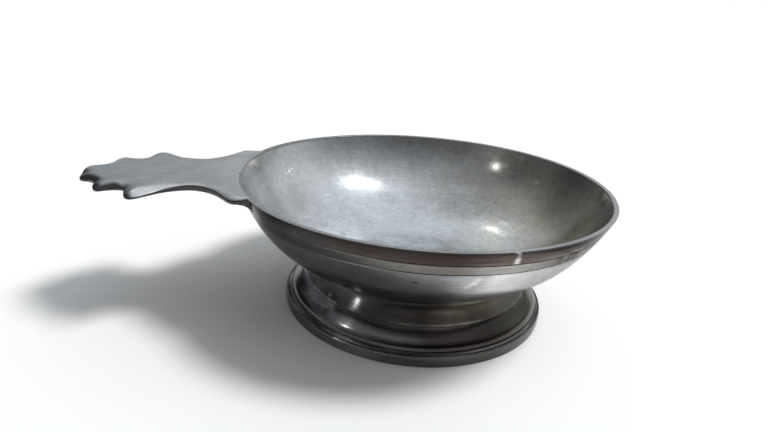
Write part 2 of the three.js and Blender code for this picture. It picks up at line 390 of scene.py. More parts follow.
def pewter_inside():
    g = Graph("pewter_inside")
    cloud = g.noise(g.p, 0.045, 3, 0.5, 0.4)
    patch = g.noise(g.mapped(g.p, loc=(40.0, 11.0, 7.0)), 0.12, 4, 0.55, 0.8)
    mottle = g.noise(g.p, 0.36, 5, 0.62, 0.3)
    fine = g.noise(g.p, 1.4, 3, 0.6)
    turn = g.noise(g.turned(g.m("ADD", g.r, g.z), 2.6, 0.8), 1.0, 4, 0.62)
    # rubbed and wiped scratches in several directions, broken up along their length
    scr = []
    for i, (rx, rz) in enumerate(((0, 24), (8, -38), (-6, 71), (4, 118), (0, 4))):
        q = g.mapped(g.p, loc=(3.1 * i, 7.7 * i, 1.3 * i), rot=(rx, 0, rz), scale=(0.05, 2.1, 0.4))
        line = g.remap(g.noise(q, 1.0, 2, 0.5), 0.64, 0.73)
        keep = g.remap(g.noise(g.p, 0.05 + 0.013 * i, 2, 0.5), 0.45, 0.60)
        scr.append(g.m("MULTIPLY", line, keep))
    long_one = g.stroke((23.5, 43.9, 23.0), (42.4, 42.6, 23.6), 0.55, 0.8)
    scr.append(g.m("MULTIPLY", long_one, g.remap(fine, 0.36, 0.52)))
    scr = g.any_of(scr)
    pits = g.remap(g.cells(g.p, 0.42), 0.05, 0.16, 1.0, 0.0)
    pits = g.m("MULTIPLY", pits, g.remap(g.noise(g.p, 0.06, 2, 0.5), 0.48, 0.60))
    # light speckled places where the bottom is rubbed
    rubbed = g.any_of([g.spot((15.0, 40.5, 22.8), 17.0, 1.0), g.spot((45.0, 47.0, 26.0), 15.0, 1.0), g.spot((42.0, 22.0, 18.6), 20.0, 1.0)])
    speck = g.m("MULTIPLY", g.remap(g.noise(g.mapped(g.p, scale=(0.55, 1.1, 1.1)), 0.8, 3, 0.6), 0.54, 0.66), g.m("ADD", g.m("MULTIPLY", rubbed, 0.75), 0.25))
    small = g.any_of([g.spot((-28.0, 37.5, 41.9), 0.85, 0.6), g.spot((-27.2, 36.4, 40.6), 0.6, 0.6), g.spot((-40.3, 16.5, 46.0), 0.7, 0.7)])
    tone = g.add((cloud, 0.16), (patch, 0.22), (mottle, 0.26), (fine, 0.12), (turn, 0.16))
    tone = g.remap(tone, 0.33, 0.59, kind="LINEAR")
    col = g.mix(tone, (0.425, 0.43, 0.432), (0.72, 0.728, 0.735))
    col = g.mix(g.m("MULTIPLY", speck, 0.42), col, (0.90, 0.905, 0.91))
    col = g.mix(g.m("MULTIPLY", scr, 0.40), col, (0.92, 0.92, 0.92))
    col = g.mix(g.m("MULTIPLY", pits, 0.55), col, (0.30, 0.295, 0.28))
    # a cooler grey over the bottom and a warmer olive tint up the far end's wall, painted tints that stand in for the
    # cool light and the warm dark room these parts reflect; lighter up the wall beside the ear
    hue = g.noise(g.mapped(g.p, loc=(5.0, 31.0, 3.0)), 0.055, 3, 0.5, 0.5)
    right = g.m("ADD", g.m("MULTIPLY", g.x, 0.011), g.m("MULTIPLY", g.m("SUBTRACT", hue, 0.5), 1.3))
    col = g.mix(g.spot((18.0, 22.0, 22.0), 74.0, 1.0), col, (0.945, 1.0, 1.045), "MULTIPLY")
    col = g.mix(g.remap(right, 0.20, 0.72), col, (1.03, 1.0, 0.88), "MULTIPLY")
    beside = g.m("MULTIPLY", g.toward(-178.0, 58.0, 18.0), g.remap(g.z, 31.0, 43.0))
    col = g.mix(beside, col, (1.38, 1.36, 1.33), "MULTIPLY")
    front = g.m("MULTIPLY", g.toward(-38.0, 36.0, 6.0), g.remap(g.z, 24.0, 38.0))
    front = g.m("MAXIMUM", front, g.m("MULTIPLY", g.spot((91.0, -19.0, 41.0), 14.0, 1.0), 0.8))
    col = g.mix(front, col, (1.42, 1.40, 1.34), "MULTIPLY")
    front = g.m("MULTIPLY", g.toward(-43.0, 32.0, 12.0), g.remap(g.z, 42.0, 50.0))
    col = g.mix(front, col, (1.42, 1.41, 1.37), "MULTIPLY")
    # darker and lighter places
    # painted shade along the far rim beside the ear
    col = g.mix(g.stroke((-41.5, 19.5, 51.4), (-34.0, 38.0, 52.4), 6.0, 1.0), col, (0.70, 0.70, 0.71), "MULTIPLY")
    col = g.mix(g.stroke((-9.6, 15.4, 21.4), (-2.8, 17.8, 20.0), 3.2, 0.8), col, (0.74, 0.74, 0.74), "MULTIPLY")
    # painted shade: a small dark patch high on the right wall that hides a reflection
    col = g.mix(g.stroke((97.8, -15.0, 52.4), (96.1, -21.2, 51.6), 3.8, 0.85), col, (0.19, 0.19, 0.185), "MULTIPLY")
    col = g.mix(g.stroke((20.0, 16.0, 17.6), (35.0, 11.0, 17.2), 9.0, 1.0), col, (1.30, 1.30, 1.29), "MULTIPLY")
    col = g.mix(g.spot((47.0, 17.0, 18.0), 11.0, 1.0), col, (0.90, 0.90, 0.90), "MULTIPLY")
    col = g.mix(g.stroke((90.0, 5.0, 36.5), (87.0, -15.0, 36.0), 12.0, 1.0), col, (0.76, 0.76, 0.75), "MULTIPLY")
    col = g.mix(g.stroke((93.0, -21.0, 43.5), (87.0, -35.0, 47.0), 12.0, 1.0), col, (1.34, 1.34, 1.32), "MULTIPLY")
    col = g.mix(g.stroke((20.0, 64.0, 40.0), (66.0, 48.0, 35.0), 17.0, 1.0), col, (0.82, 0.82, 0.82), "MULTIPLY")
    col = g.mix(g.spot((-22.0, 34.2, 32.9), 17.0, 1.0), col, (0.86, 0.86, 0.86), "MULTIPLY")
    brown = g.any_of([g.spot((93.8, -1.3, 42.3), 7.0, 0.9), g.spot((84.0, 6.0, 33.0), 6.0, 0.9), g.spot((60.0, 52.0, 40.0), 7.0, 0.9)])
    brown = g.m("MULTIPLY", brown, g.remap(mottle, 0.42, 0.58))
    col = g.mix(g.m("MULTIPLY", brown, 0.60), col, (0.92, 0.77, 0.60), "MULTIPLY")
    # painted glints: three small pale spots up the far right wall
    pale = g.any_of([g.spot((89.1, 26.8, 43.7), 2.2, 0.9), g.spot((73.8, 53.6, 50.4), 1.6, 0.9), g.spot((86.2, 40.5, 51.7), 1.8, 0.9)])
    col = g.mix(g.m("MULTIPLY", pale, 0.8), col, (0.95, 0.92, 0.86))
    col = g.mix(small, col, (0.97, 0.97, 0.97))
    g.put(g.bsdf.inputs["Base Color"], col)
    ro = g.add((mottle, 0.13), (cloud, 0.05), (patch, 0.06), (fine, 0.05), (pits, 0.08))
    ro = g.m("SUBTRACT", g.m("ADD", ro, 0.015), g.m("MULTIPLY", scr, 0.03))
    g.put(g.bsdf.inputs["Roughness"], ro)
    g.bump(g.add((mottle, 0.010), (fine, 0.004), (turn, 0.006), (scr, -0.005), (pits, -0.012), (cloud, 0.05), (small, 0.06)))
    return g.mat


def pewter_lip():
    g = Graph("pewter_lip")
    mottle = g.noise(g.p, 0.5, 4, 0.6)
    turn = g.noise(g.turned(g.m("ADD", g.r, g.z), 2.0, 6.0), 1.0, 3, 0.6)
    nick = g.remap(g.noise(g.p, 0.9, 2, 0.5), 0.63, 0.70)
    tone = g.add((mottle, 0.6), (turn, 0.4))
    tone = g.remap(tone, 0.3, 0.7, 0.88, 1.12, kind="LINEAR")
    cloud = g.noise(g.p, 0.05, 3, 0.5)
    col = g.round_ramp([(-170, (0.52, 0.52, 0.515)), (-150, (0.50, 0.505, 0.505)), (-125, (0.40, 0.404, 0.408)), (-110, (0.36, 0.36, 0.36)), (-95, (0.36, 0.36, 0.36)), (-80, (0.54, 0.54, 0.54)), (-65, (0.44, 0.44, 0.44)), (-50, (0.54, 0.54, 0.545)), (-35, (0.56, 0.56, 0.565)), (-12, (0.50, 0.50, 0.50)), (8, (0.40, 0.40, 0.40)), (55, (0.44, 0.44, 0.44)), (110, (0.30, 0.305, 0.31)), (150, (0.32, 0.32, 0.32))],
                       g.m("MULTIPLY", g.m("SUBTRACT", cloud, 0.5), 0.08))
    col = g.scale_colour(col, tone)
    col = g.mix(g.m("MULTIPLY", nick, 0.22), col, (0.24, 0.235, 0.225))
    # painted shade: the outer edge is darkened to a dark line, except where the painted highlight streak on the rim
    # band starts, and the inner edge at the right end is darkened to hide a reflection
    n, up = g.normal()
    edge = g.remap(g.v("DOT_PRODUCT", n, g.dir), 0.15, 0.60)
    inner = g.remap(g.v("DOT_PRODUCT", n, g.dir), -0.10, -0.45)
    col = g.mix(g.m("MULTIPLY", inner, g.toward(-13.0, 9.0, 4.0)), col, (0.30, 0.30, 0.30), "MULTIPLY")
    edge = g.m("MULTIPLY", edge, g.m("SUBTRACT", 1.0, g.spot((39.0, -74.2, 53.4), 1.6, 0.9)))
    col = g.mix(g.m("MULTIPLY", edge, 0.95), col, (0.030, 0.028, 0.027))
    g.put(g.bsdf.inputs["Base Color"], col)
    g.put(g.bsdf.inputs["Roughness"], g.m("ADD", g.add((mottle, 0.16), (turn, 0.10)), 0.13))
    g.bump(g.add((mottle, 0.012), (turn, 0.006), (nick, -0.02)))
    return g.mat


def pewter_outside():
    g = Graph("pewter_outside")
    g.bsdf.inputs["Specular Tint"].default_value = (0.55, 0.545, 0.54, 1.0)
    g.bsdf.inputs["Anisotropic"].default_value = 0.35
    g.bsdf.inputs["Anisotropic Rotation"].default_value = 0.25
    g.radial_tangent()
    along = g.m("ADD", g.r, g.z)
    turn = g.noise(g.turned(along, 1.8, 1.5), 1.0, 5, 0.7)
    turn2 = g.noise(g.turned(along, 3.6, 0.5), 1.0, 3, 0.6)
    cloud = g.noise(g.p, 0.045, 4, 0.55, 0.4)
    mottle = g.noise(g.p, 0.35, 5, 0.62, 0.3)
    fine = g.noise(g.p, 1.4, 3, 0.6)
    wob = g.m("MULTIPLY", g.m("SUBTRACT", g.add((cloud, 0.6), (turn2, 0.4)), 0.5), 0.07)
    above1 = g.remap(g.z, 48.15, 48.45)
    above2 = g.remap(g.z, 44.25, 44.55)
    # colour by azimuth, partly tarnish and partly painted reflection of the room's dark and bright sides: the lower
    # bowl is bright at the front, the rim band dark brown, and the side towards the ear dull
    low = g.round_ramp([(-178, (0.40, 0.405, 0.39)), (-140, (0.30, 0.30, 0.29)), (-118, (0.205, 0.205, 0.20)), (-97, (0.235, 0.235, 0.233)), (-89, (0.47, 0.475, 0.475)), (-80, (0.82, 0.82, 0.815)), (-70, (0.70, 0.70, 0.70)), (-52, (0.60, 0.60, 0.597)), (-30, (0.56, 0.555, 0.545)), (40, (0.45, 0.45, 0.44)), (120, (0.38, 0.38, 0.37))], wob)
    band = g.round_ramp([(-178, (0.20, 0.20, 0.195)), (-140, (0.15, 0.148, 0.143)), (-118, (0.15, 0.145, 0.135)), (-108, (0.20, 0.19, 0.173)), (-95, (0.18, 0.166, 0.15)), (-80, (0.42, 0.405, 0.385)), (-64, (0.20, 0.195, 0.185)), (-45, (0.18, 0.17, 0.156)), (40, (0.30, 0.29, 0.28)), (120, (0.25, 0.245, 0.235))], wob)
    rim = g.round_ramp([(-178, (0.27, 0.275, 0.277)), (-158, (0.16, 0.16, 0.158)), (-140, (0.135, 0.131, 0.126)), (-114, (0.070, 0.055, 0.050)), (-95, (0.054, 0.041, 0.037)), (-80, (0.15, 0.12, 0.108)), (-66, (0.028, 0.024, 0.022)), (-50, (0.031, 0.028, 0.025)), (-34, (0.034, 0.025, 0.019)), (40, (0.12, 0.11, 0.10)), (120, (0.13, 0.12, 0.112))], wob)
    low = g.scale_colour(low, g.remap(g.add((mottle, 0.35), (turn, 0.45), (fine, 0.2)), 0.33, 0.67, 0.72, 1.28, kind="LINEAR"))
    band = g.scale_colour(band, g.remap(g.add((turn, 0.6), (mottle, 0.4)), 0.33, 0.67, 0.68, 1.32, kind="LINEAR"))
    rim = g.scale_colour(rim, g.remap(g.add((turn2, 0.5), (turn, 0.25), (mottle, 0.25)), 0.35, 0.65, 0.65, 1.35, kind="LINEAR"))
    # painted shade: just under the lip the rim band is darkened to nearly black, and it is lighter towards the first
    # line
    rim = g.scale_colour(rim, g.remap(g.z, 48.4, 51.6, 1.35, 0.88))
    rim = g.mix(g.m("MULTIPLY", g.remap(g.m("ADD", g.z, g.m("MULTIPLY", g.m("SUBTRACT", turn2, 0.5), 1.6)), 51.3, 53.3), 0.8), rim, (0.022, 0.020, 0.019))
    # painted reflection: lighter under the foot of the wall at the front, standing in for the lit floor it reflects
    low = g.mix(g.m("MULTIPLY", g.remap(g.z, 39.0, 32.0), g.toward(-95.0, 30.0, 12.0)), low, (1.75, 1.73, 1.70), "MULTIPLY")
    worn = g.m("MULTIPLY", g.remap(g.m("ADD", g.z, g.m("MULTIPLY", g.m("SUBTRACT", turn2, 0.5), 1.2)), 52.2, 48.6, kind="LINEAR"), g.toward(-61.0, 16.0, 7.0))
    rim = g.mix(g.m("MULTIPLY", worn, 0.85), rim, (0.29, 0.262, 0.232))
    dull = g.m("MULTIPLY", g.toward(-45.0, 11.0, 6.0), g.remap(g.z, 48.4, 49.6))
    rim = g.mix(g.m("MULTIPLY", dull, 0.8), rim, (0.020, 0.014, 0.010))
    col = g.mix(above2, low, band)
    col = g.mix(above1, col, rim)
    # a rubbed place beside the ear; two painted highlights at the front, a streak on the rim band and a blob lower on
    # the wall
    by_ear = g.m("MULTIPLY", g.toward(-155.0, 6.5, 1.5), g.m("MULTIPLY", g.remap(g.z, 44.5, 47.5), g.remap(g.z, 52.8, 51.4)))
    by_ear = g.m("MULTIPLY", by_ear, g.remap(mottle, 0.40, 0.56, 0.35, 1.0))
    col = g.mix(g.m("MULTIPLY", by_ear, 0.6), col, (0.44, 0.445, 0.44))
    highlight_streak = g.any_of([g.m("MULTIPLY", g.stroke((39.6, -74.0, 53.4), (39.9, -71.4, 48.6), 1.0, 1.0), 0.26), g.m("MULTIPLY", g.stroke((39.8, -72.4, 50.4), (39.9, -71.2, 48.5), 1.6, 1.0), 0.8)])
    highlight_streak = g.m("MULTIPLY", highlight_streak, above1)
    highlight_blob = g.any_of([g.spot((28.9, -68.3, 40.6), 2.1, 1.0), g.m("MULTIPLY", g.stroke((27.2, -67.3, 38.2), (29.6, -69.2, 42.6), 2.0, 1.0), 0.6), g.m("MULTIPLY", g.spot((37.0, -68.6, 42.2), 4.2, 1.0), 0.7)])
    highlight_blob = g.m("MULTIPLY", highlight_blob, g.remap(fine, 0.30, 0.48, 0.55, 1.0))
    col = g.mix(g.m("MULTIPLY", highlight_streak, 0.95), col, (0.97, 0.96, 0.94))
    col = g.mix(g.m("MULTIPLY", highlight_blob, 0.9), col, (0.98, 0.98, 0.97))
    # dirt lies in the two incised lines, and is worn out of them towards the ear
    kept = g.m("SUBTRACT", 1.0, g.m("MULTIPLY", g.toward(-172, 66.0, 44.0), 0.92))
    # at the right end of the rim band, dark smears and pale patches: wear, and painted reflections of dark and light
    # things at that end
    end = g.m("MULTIPLY", g.toward(-55.0, 14.0, 7.0), g.remap(g.z, 42.5, 44.0))
    blot = g.noise(g.mapped(g.p, rot=(0, 0, 36), scale=(0.5, 1.0, 0.9)), 0.42, 4, 0.6, 0.6)
    smear = g.m("MULTIPLY", end, g.remap(blot, 0.50, 0.44))
    pale = g.m("MULTIPLY", g.m("MULTIPLY", end, g.remap(blot, 0.53, 0.60)), g.remap(g.z, 51.4, 49.6))
    col = g.mix(g.m("MULTIPLY", pale, 0.6), col, (0.34, 0.295, 0.24))
    col = g.mix(g.m("MULTIPLY", smear, 0.6), col, (0.024, 0.019, 0.016))
    for z0 in (48.3, 44.4):
        d = g.m("ABSOLUTE", g.m("SUBTRACT", g.z, z0))
        col = g.mix(g.m("MULTIPLY", g.remap(d, 0.10, 0.30, 0.85, 0.0), kept), col, (0.045, 0.04, 0.037))
        col = g.mix(g.m("MULTIPLY", g.remap(d, 0.30, 1.20, 0.9, 0.0), smear), col, (0.030, 0.026, 0.024))
    # a bronze patch: wear, and a painted reflection of a warm thing
    bronze = g.m("MULTIPLY", g.spot((67.5, -61.2, 50.4), 3.2, 1.0), g.remap(mottle, 0.40, 0.56))
    col = g.mix(g.m("MULTIPLY", bronze, 0.7), col, (0.085, 0.060, 0.040))
    # small pits and nicks
    marks = [g.spot(at, rad, 0.7) for at, rad in (((55.9, -59.1, 36.8), 0.8), ((60.7, -52.4, 32.7), 0.6), ((58.1, -66.4, 50.1), 0.9), ((61.0, -63.6, 48.0), 0.8), ((64.0, -60.6, 45.3), 0.8), ((11.2, -66.2, 39.9), 1.3))]
    pits = g.remap(g.cells(g.p, 0.22), 0.03, 0.085, 1.0, 0.0)
    pits = g.m("MULTIPLY", pits, g.remap(g.noise(g.p, 0.05, 2, 0.5), 0.52, 0.62))
    marks = g.any_of(marks + [g.m("MULTIPLY", pits, 0.7)])
    col = g.mix(g.m("MULTIPLY", marks, 0.75), col, (0.05, 0.05, 0.048))
    g.put(g.bsdf.inputs["Base Color"], col)
    ro = g.add((mottle, 0.12), (turn, 0.12), (cloud, 0.05), (marks, 0.15))
    g.put(g.bsdf.inputs["Roughness"], g.m("ADD", ro, 0.07))
    g.bump(g.add((mottle, 0.008), (turn, 0.006), (fine, 0.003), (marks, -0.05), (cloud, 0.05)))
    return g.mat


def pewter_ear():
    g = Graph("pewter_ear")
    cloud = g.noise(g.p, 0.05, 4, 0.55, 0.3)
    mottle = g.noise(g.p, 0.40, 3, 0.55, 0.2)
    fine = g.noise(g.p, 1.6, 3, 0.6)
    rub = g.noise(g.mapped(g.p, rot=(0, 0, 7), scale=(0.07, 0.6, 0.6)), 1.0, 2, 0.5)
    # light rub marks and dings, mostly over the lobes
    ding = g.remap(g.noise(g.mapped(g.p, rot=(0, 0, -18), scale=(0.30, 0.62, 0.5)), 1.0, 2, 0.5), 0.655, 0.71)
    where = g.remap(g.m("MULTIPLY", g.x, -1.0), 88.0, 100.0)
    ding = g.m("MULTIPLY", ding, where)
    z = H - 0.2
    marks = g.any_of([g.stroke((AX - 108.0, -9.4, z), (AX - 105.2, -8.0, z), 0.75, 0.7), g.stroke((AX - 105.0, -7.6, z), (AX - 103.0, -6.9, z), 0.6, 0.7),
                      g.stroke((AX - 108.6, 1.0, z), (AX - 106.0, 2.0, z), 0.7, 0.7), g.stroke((AX - 106.0, 2.7, z), (AX - 104.0, 3.3, z), 0.55, 0.7),
                      g.spot((AX - 104.2, 23.6, z), 1.3, 0.7), g.stroke((AX - 97.6, 19.2, z), (AX - 95.4, 20.0, z), 0.6, 0.7)])
    ding = g.m("MAXIMUM", ding, g.m("MULTIPLY", marks, g.remap(fine, 0.34, 0.5)))
    tone = g.add((cloud, 0.40), (mottle, 0.22), (rub, 0.22), (fine, 0.16))
    col = g.mix(g.remap(tone, 0.34, 0.66, kind="LINEAR"), (0.61, 0.615, 0.615), (0.79, 0.795, 0.80))
    cool = g.remap(g.m("MULTIPLY", g.x, -1.0), 85.0, 120.0)
    col = g.mix(cool, col, (1.02, 1.07, 1.11), "MULTIPLY")
    n, up = g.normal()
    ding = g.m("MULTIPLY", ding, g.remap(up, 0.90, 0.985))
    col = g.mix(g.m("MULTIPLY", ding, 0.95), col, (1.0, 1.0, 1.0))
    # painted shade: the rolled edges that face the front and the tip, the sides and the underside are darkened,
    # standing in for the dark room they reflect, along with some tarnish; a spot on the near shoulder is darkened the
    # same way to hide a highlight
    lean = g.v("DOT_PRODUCT", n, (-0.42, -0.907, 0.0))
    lean = g.m("ADD", lean, g.m("MULTIPLY", g.m("SUBTRACT", mottle, 0.5), 0.10))
    u = g.m("MULTIPLY", g.x, -1.0)
    lean = g.m("ADD", lean, g.m("ADD", g.remap(u, 110.0, 114.5, 0.0, 0.22), g.m("MULTIPLY", g.m("ADD", g.m("MULTIPLY", g.m("MULTIPLY", g.remap(u, 101.0, 104.0), g.remap(u, 111.0, 108.5)), 0.10), g.m("MULTIPLY", g.m("MULTIPLY", g.remap(u, 88.0, 93.0), g.remap(u, 101.5, 98.0)), -0.19)), 1.0)))
    shaded_side = g.any_of([g.remap(lean, 0.25, 0.54), g.remap(up, 0.55, 0.20), g.m("MULTIPLY", g.spot((-41.0, -32.0, 52.4), 2.6, 0.6), 0.9)])
    col = g.mix(g.m("MULTIPLY", shaded_side, 0.95), col, (0.030, 0.029, 0.031))
    # painted shade: a darker line along the root, where the ear meets the bowl
    col = g.mix(g.m("MULTIPLY", g.remap(g.v("DOT_PRODUCT", n, g.dir), -0.25, -0.65), 0.6), col, (0.20, 0.20, 0.195))
    g.put(g.bsdf.inputs["Base Color"], col)
    ro = g.m("ADD", g.add((mottle, 0.10), (cloud, 0.08), (rub, 0.06)), 0.23)
    g.put(g.bsdf.inputs["Roughness"], g.m("SUBTRACT", ro, g.m("MULTIPLY", ding, 0.05)))
    g.bump(g.add((mottle, 0.0012), (rub, 0.001), (cloud, 0.06), (ding, 0.02)))
    return g.mat


def residue(g):
    """Pale flux residue left beside the solder line, on the side towards the ear."""
    torn = g.noise(g.mapped(g.p, rot=(0, 0, 35), scale=(0.8, 1.3, 1.0)), 0.15, 3, 0.55, 0.3)
    worn = g.noise(g.p, 0.8, 4, 0.6)
    rr = g.m("ADD", g.r, g.m("MULTIPLY", g.m("SUBTRACT", g.add((torn, 0.82), (worn, 0.18)), 0.5), 8.0))
    big = g.m("MULTIPLY", g.toward(-150.0, 12.0, 8.0), g.remap(rr, 50.0, 49.0))
    thin = g.m("MULTIPLY", g.toward(-171.0, 17.0, 12.0), g.remap(rr, 48.3, 47.4))
    mask = g.m("MAXIMUM", big, g.m("MULTIPLY", thin, 0.45))
    return g.m("MULTIPLY", mask, g.remap(g.r, 46.0, 46.5))


def pewter_collar():
    g = Graph("pewter_collar")
    g.bsdf.inputs["Anisotropic"].default_value = 0.85
    g.bsdf.inputs["Anisotropic Rotation"].default_value = 0.25
    g.radial_tangent()
    along = g.m("SUBTRACT", g.z, g.r)
    turn = g.noise(g.turned(along, 1.5, 1.6), 1.0, 4, 0.65)
    cloud = g.noise(g.p, 0.06, 4, 0.55, 0.4)
    mottle = g.noise(g.p, 0.35, 4, 0.6, 0.3)
    fine = g.noise(g.p, 1.5, 3, 0.6)
    wob = g.m("MULTIPLY", g.m("SUBTRACT", cloud, 0.5), 0.06)
    # dark patina, and painted reflection around it: darker at the front, lighter at the left and right
    col = g.round_ramp([(-175, (0.29, 0.296, 0.315)), (-140, (0.26, 0.264, 0.28)), (-112, (0.13, 0.119, 0.113)), (-92, (0.058, 0.049, 0.046)), (-70, (0.14, 0.125, 0.100)), (-45, (0.165, 0.155, 0.135)), (30, (0.17, 0.165, 0.155)), (110, (0.17, 0.165, 0.16))], wob)
    # painted reflection: a light bronze band round the waist at the front right
    waist_sheen = g.m("MULTIPLY", g.remap(g.z, 14.6, 15.9), g.remap(g.z, 18.2, 17.0))
    waist_sheen = g.m("MULTIPLY", waist_sheen, g.toward(-68.0, 34.0, 14.0))
    col = g.mix(g.m("MULTIPLY", waist_sheen, 0.7), col, (0.235, 0.205, 0.155))
    # painted shade: the top of the neck under the bowl is darkened at the front and left
    crease_shade = g.m("MULTIPLY", g.remap(g.z, 16.8, 17.5), g.toward(-128.0, 56.0, 36.0))
    col = g.mix(g.m("MULTIPLY", crease_shade, 0.92), col, (0.024, 0.022, 0.021))
    col = g.scale_colour(col, g.remap(g.add((turn, 0.5), (mottle, 0.35), (fine, 0.15)), 0.34, 0.66, 0.78, 1.22, kind="LINEAR"))
    # painted shade with some dirt: darker low on the neck at the front, near the joint
    dirt_and_shade = g.m("MULTIPLY", g.remap(g.m("ADD", g.z, g.m("MULTIPLY", g.m("SUBTRACT", mottle, 0.5), 2.0)), 15.4, 13.4), g.toward(-95.0, 75.0, 30.0))
    col = g.mix(g.m("MULTIPLY", dirt_and_shade, 0.4), col, (0.055, 0.048, 0.043))
    flake = g.m("MULTIPLY", g.spot((-14.4, -14.8, 15.2), 6.5, 0.5), g.remap(g.noise(g.p, 0.34, 4, 0.6, 0.5), 0.47, 0.55))
    flake = g.any_of([g.m("MULTIPLY", flake, 0.35), g.spot((-11.0, -25.3, 13.4), 1.0, 0.5), g.spot((-12.2, -23.9, 13.8), 0.6, 0.5), residue(g)])
    col = g.mix(g.m("MULTIPLY", flake, 0.6), col, (0.62, 0.625, 0.65))
    # the sharp lower edge is bright where it is burred
    burr = g.m("MULTIPLY", g.m("MULTIPLY", g.remap(g.r, 46.55, 46.75), g.toward(-91.0, 24.0, 15.0)), g.remap(fine, 0.36, 0.50))
    col = g.mix(g.m("MULTIPLY", burr, 0.9), col, (0.46, 0.44, 0.41))
    g.put(g.bsdf.inputs["Base Color"], col)
    ro = g.m("ADD", g.add((mottle, 0.10), (turn, 0.08), (cloud, 0.04)), 0.09)
    g.put(g.bsdf.inputs["Roughness"], g.m("ADD", ro, g.m("MULTIPLY", flake, 0.15)))
    g.bump(g.add((mottle, 0.008), (turn, 0.006), (fine, 0.003), (cloud, 0.05)))
    return g.mat


def pewter_base():
    g = Graph("pewter_base")
    g.bsdf.inputs["Specular Tint"].default_value = (0.76, 0.76, 0.76, 1.0)
    g.bsdf.inputs["Anisotropic"].default_value = 0.25
    g.bsdf.inputs["Anisotropic Rotation"].default_value = 0.25
    g.radial_tangent()
    along = g.m("SUBTRACT", g.z, g.r)
    turn = g.noise(g.turned(along, 1.5, 1.6), 1.0, 4, 0.65)
    cloud = g.noise(g.p, 0.05, 4, 0.55, 0.4)
    mottle = g.noise(g.p, 0.35, 4, 0.6, 0.3)
    fine = g.noise(g.p, 1.5, 3, 0.6)
    wob = g.m("MULTIPLY", g.m("SUBTRACT", cloud, 0.5), 0.06)
    # dark patina, and painted reflection around it: darker at the front, lighter at the left and right
    skirt = g.round_ramp([(-178, (0.33, 0.338, 0.355)), (-140, (0.31, 0.314, 0.328)), (-116, (0.20, 0.19, 0.182)), (-90, (0.068, 0.055, 0.053)), (-66, (0.046, 0.040, 0.036)), (-40, (0.125, 0.115, 0.098)), (60, (0.13, 0.126, 0.118))], wob)
    foot = g.round_ramp([(-178, (0.14, 0.142, 0.143)), (-140, (0.19, 0.192, 0.195)), (-122, (0.24, 0.242, 0.245)), (-108, (0.15, 0.147, 0.141)), (-92, (0.12, 0.117, 0.11)), (-70, (0.10, 0.097, 0.09)), (-45, (0.17, 0.168, 0.162)), (0, (0.18, 0.175, 0.165)), (90, (0.12, 0.116, 0.11))], wob)
    col = g.mix(g.remap(g.z, 4.55, 4.75), foot, skirt)
    col = g.scale_colour(col, g.remap(g.add((turn, 0.5), (mottle, 0.35), (fine, 0.15)), 0.34, 0.66, 0.78, 1.22, kind="LINEAR"))
    # darker in the corner beside the joint at the front: painted shade with some dirt; a lighter shoulder: a painted
    # highlight along it, with rubbing
    dirt_and_shade = g.m("MULTIPLY", g.remap(g.m("ADD", g.z, g.m("MULTIPLY", g.m("SUBTRACT", mottle, 0.5), 2.0)), 8.9, 11.2), g.toward(-95.0, 80.0, 30.0))
    col = g.mix(g.m("MULTIPLY", dirt_and_shade, 0.72), col, (0.045, 0.041, 0.038))
    rub = g.m("MULTIPLY", g.m("MULTIPLY", g.remap(g.z, 5.0, 5.6), g.remap(g.z, 8.0, 6.9)), g.remap(g.add((turn, 0.6), (cloud, 0.4)), 0.36, 0.58))
    rub = g.m("MULTIPLY", rub, g.m("SUBTRACT", 1.0, g.m("MULTIPLY", g.toward(-95.0, 62.0, 30.0), 0.85)))
    col = g.mix(g.m("MULTIPLY", rub, 0.45), col, (0.24, 0.235, 0.225))
    # painted shade: the shoulder's face and the slope above it are darkened at the front and left, where they would
    # reflect the lit floor
    worn = g.m("MULTIPLY", g.remap(g.z, 7.3, 6.3), g.m("MULTIPLY", g.remap(g.z, 5.2, 5.8), g.toward(-150.0, 86.0, 60.0)))
    col = g.mix(g.m("MULTIPLY", worn, 0.88), col, (0.042, 0.038, 0.037))
    worn = g.m("MULTIPLY", g.m("MULTIPLY", g.remap(g.z, 9.0, 8.2), g.remap(g.z, 6.0, 6.8)), g.toward(-178.0, 36.0, 20.0))
    col = g.mix(g.m("MULTIPLY", worn, 0.85), col, (0.050, 0.050, 0.052))
    worn = g.m("MULTIPLY", g.remap(g.z, 8.0, 8.8), g.toward(177.0, 23.0, 12.0))
    col = g.mix(g.m("MULTIPLY", worn, 0.85), col, (0.088, 0.087, 0.085))
    # the two turned lines hold dirt
    for r0, z0, much in ((53.48, 3.95, 0.92), (52.24, 4.84, 0.5)):
        d = g.v("DISTANCE", g.xyz(g.r, g.z, 0.0), (r0, z0, 0.0))
        col = g.mix(g.remap(d, 0.08, 0.30, much, 0.0), col, (0.022, 0.021, 0.020))
    wash = residue(g)
    col = g.mix(g.m("MULTIPLY", wash, 0.6), col, (0.62, 0.625, 0.65))
    # a painted glint: a short light dash on the band
    col = g.mix(g.stroke((-10.0, -39.5, 4.0), (-8.6, -40.8, 4.0), 0.7, 0.8), col, (0.75, 0.75, 0.77))
    g.put(g.bsdf.inputs["Base Color"], col)
    ro = g.m("ADD", g.add((mottle, 0.10), (turn, 0.08), (cloud, 0.04)), 0.05)
    g.put(g.bsdf.inputs["Roughness"], g.m("ADD", ro, g.m("MULTIPLY", wash, 0.15)))
    g.bump(g.add((mottle, 0.008), (turn, 0.007), (fine, 0.003), (cloud, 0.05)))
    return g.mat


